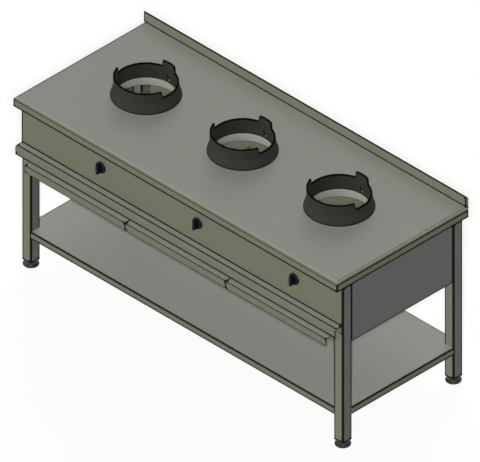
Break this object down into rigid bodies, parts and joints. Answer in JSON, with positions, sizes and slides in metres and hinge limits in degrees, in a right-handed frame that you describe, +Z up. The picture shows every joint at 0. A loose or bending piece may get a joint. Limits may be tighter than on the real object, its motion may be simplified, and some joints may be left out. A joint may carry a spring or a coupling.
{
  "type": "wok range",
  "caption": "Free-standing stainless gas wok range: burners in a row under cast iron rings, front knobs, drip trays, shelf and levelling feet.",
  "frame": {"origin": "on the floor, under the middle of the worktop", "axes": "+X to the right along the row of burners, +Y from the front with the knobs to the rear with the upstand, +Z up"},
  "size_m": [1.8, 0.73, 0.9123],
  "materials": {
    "worktop_stainless": "brushed stainless sheet",
    "panel_stainless": "brushed stainless sheet",
    "tube_stainless": "brushed stainless tube",
    "ring_cast_iron": "sand-cast, seasoned",
    "burner_cast_iron": "sand-cast",
    "valve_brass": "turned",
    "spindle_steel": "turned",
    "pipe_steel": "drawn tube",
    "knob_plastic": "moulded, satin",
    "foot_plastic": "moulded, fine texture"
  },
  "bodies": {
    "frame": {"worktop": "worktop_stainless", "rear_upstand": "worktop_stainless", "leg_front_left": "tube_stainless", "leg_front_right": "tube_stainless", "leg_rear_left": "tube_stainless", "leg_rear_right": "tube_stainless", "leg_plug_front_left": "foot_plastic", "leg_plug_front_right": "foot_plastic", "leg_plug_rear_left": "foot_plastic", "leg_plug_rear_right": "foot_plastic", "control_panel": "panel_stainless", "front_rail": "panel_stainless", "side_panel_left": "panel_stainless", "side_panel_right": "panel_stainless", "back_panel": "panel_stainless", "under_shelf": "worktop_stainless", "tray_runner_left": "panel_stainless", "tray_runner_centre_left": "panel_stainless", "tray_runner_centre_right": "panel_stainless", "tray_runner_right": "panel_stainless", "burner_beam_front": "panel_stainless", "burner_beam_rear": "panel_stainless", "gas_manifold": "pipe_steel", "flame_guard_left": "panel_stainless", "burner_head_left": "burner_cast_iron", "mixing_tube_left": "burner_cast_iron", "pilot_burner_left": "valve_brass", "gas_valve_left": "valve_brass", "supply_tube_left": "pipe_steel", "flame_guard_centre": "panel_stainless", "burner_head_centre": "burner_cast_iron", "mixing_tube_centre": "burner_cast_iron", "pilot_burner_centre": "valve_brass", "gas_valve_centre": "valve_brass", "supply_tube_centre": "pipe_steel", "flame_guard_right": "panel_stainless", "burner_head_right": "burner_cast_iron", "mixing_tube_right": "burner_cast_iron", "pilot_burner_right": "valve_brass", "gas_valve_right": "valve_brass", "supply_tube_right": "pipe_steel"},
    "foot_front_left": {"foot_front_left": "foot_plastic"},
    "foot_front_right": {"foot_front_right": "foot_plastic"},
    "foot_rear_left": {"foot_rear_left": "foot_plastic"},
    "foot_rear_right": {"foot_rear_right": "foot_plastic"},
    "drip_tray_left": {"drip_tray_left": "worktop_stainless"},
    "drip_tray_centre": {"drip_tray_centre": "worktop_stainless"},
    "drip_tray_right": {"drip_tray_right": "worktop_stainless"},
    "wok_ring_left": {"wok_ring_left": "ring_cast_iron"},
    "wok_ring_centre": {"wok_ring_centre": "ring_cast_iron"},
    "wok_ring_right": {"wok_ring_right": "ring_cast_iron"},
    "plunger_left": {"valve_plunger_left": "valve_brass"},
    "knob_left": {"valve_spindle_left": "spindle_steel", "tap_knob_left": "knob_plastic"},
    "plunger_centre": {"valve_plunger_centre": "valve_brass"},
    "knob_centre": {"valve_spindle_centre": "spindle_steel", "tap_knob_centre": "knob_plastic"},
    "plunger_right": {"valve_plunger_right": "valve_brass"},
    "knob_right": {"valve_spindle_right": "spindle_steel", "tap_knob_right": "knob_plastic"}
  },
  "joints": [
    {"name": "foot_front_left_height", "type": "slide", "parent": "frame", "child": "foot_front_left", "axis": [0, 0, -1], "range_m": [0, 0.02]},
    {"name": "foot_front_right_height", "type": "slide", "parent": "frame", "child": "foot_front_right", "axis": [0, 0, -1], "range_m": [0, 0.02]},
    {"name": "foot_rear_left_height", "type": "slide", "parent": "frame", "child": "foot_rear_left", "axis": [0, 0, -1], "range_m": [0, 0.02]},
    {"name": "foot_rear_right_height", "type": "slide", "parent": "frame", "child": "foot_rear_right", "axis": [0, 0, -1], "range_m": [0, 0.02]},
    {"name": "drip_tray_left_pull", "type": "slide", "parent": "frame", "child": "drip_tray_left", "axis": [0, -1, 0], "range_m": [0, 0.5]},
    {"name": "drip_tray_centre_pull", "type": "slide", "parent": "frame", "child": "drip_tray_centre", "axis": [0, -1, 0], "range_m": [0, 0.5]},
    {"name": "drip_tray_right_pull", "type": "slide", "parent": "frame", "child": "drip_tray_right", "axis": [0, -1, 0], "range_m": [0, 0.5]},
    {"name": "wok_ring_left_lift", "type": "slide", "parent": "frame", "child": "wok_ring_left", "axis": [0, 0, 1], "range_m": [0, 0.15]},
    {"name": "wok_ring_centre_lift", "type": "slide", "parent": "frame", "child": "wok_ring_centre", "axis": [0, 0, 1], "range_m": [0, 0.15]},
    {"name": "wok_ring_right_lift", "type": "slide", "parent": "frame", "child": "wok_ring_right", "axis": [0, 0, 1], "range_m": [0, 0.15]},
    {"name": "knob_left_push", "type": "slide", "parent": "frame", "child": "plunger_left", "axis": [0, 1, 0], "range_m": [0, 0.005], "stiffness_N_per_m": 1200, "springref_m": -0.003},
    {"name": "knob_left_turn", "type": "hinge", "parent": "plunger_left", "child": "knob_left", "pos_m": [-0.444, -0.34, 0.693], "axis": [0, -1, 0], "range_deg": [0, 190]},
    {"name": "knob_centre_push", "type": "slide", "parent": "frame", "child": "plunger_centre", "axis": [0, 1, 0], "range_m": [0, 0.005], "stiffness_N_per_m": 1200, "springref_m": -0.003},
    {"name": "knob_centre_turn", "type": "hinge", "parent": "plunger_centre", "child": "knob_centre", "pos_m": [0.093, -0.34, 0.693], "axis": [0, -1, 0], "range_deg": [0, 190]},
    {"name": "knob_right_push", "type": "slide", "parent": "frame", "child": "plunger_right", "axis": [0, 1, 0], "range_m": [0, 0.005], "stiffness_N_per_m": 1200, "springref_m": -0.003},
    {"name": "knob_right_turn", "type": "hinge", "parent": "plunger_right", "child": "knob_right", "pos_m": [0.63, -0.34, 0.693], "axis": [0, -1, 0], "range_deg": [0, 190]}
  ]
}
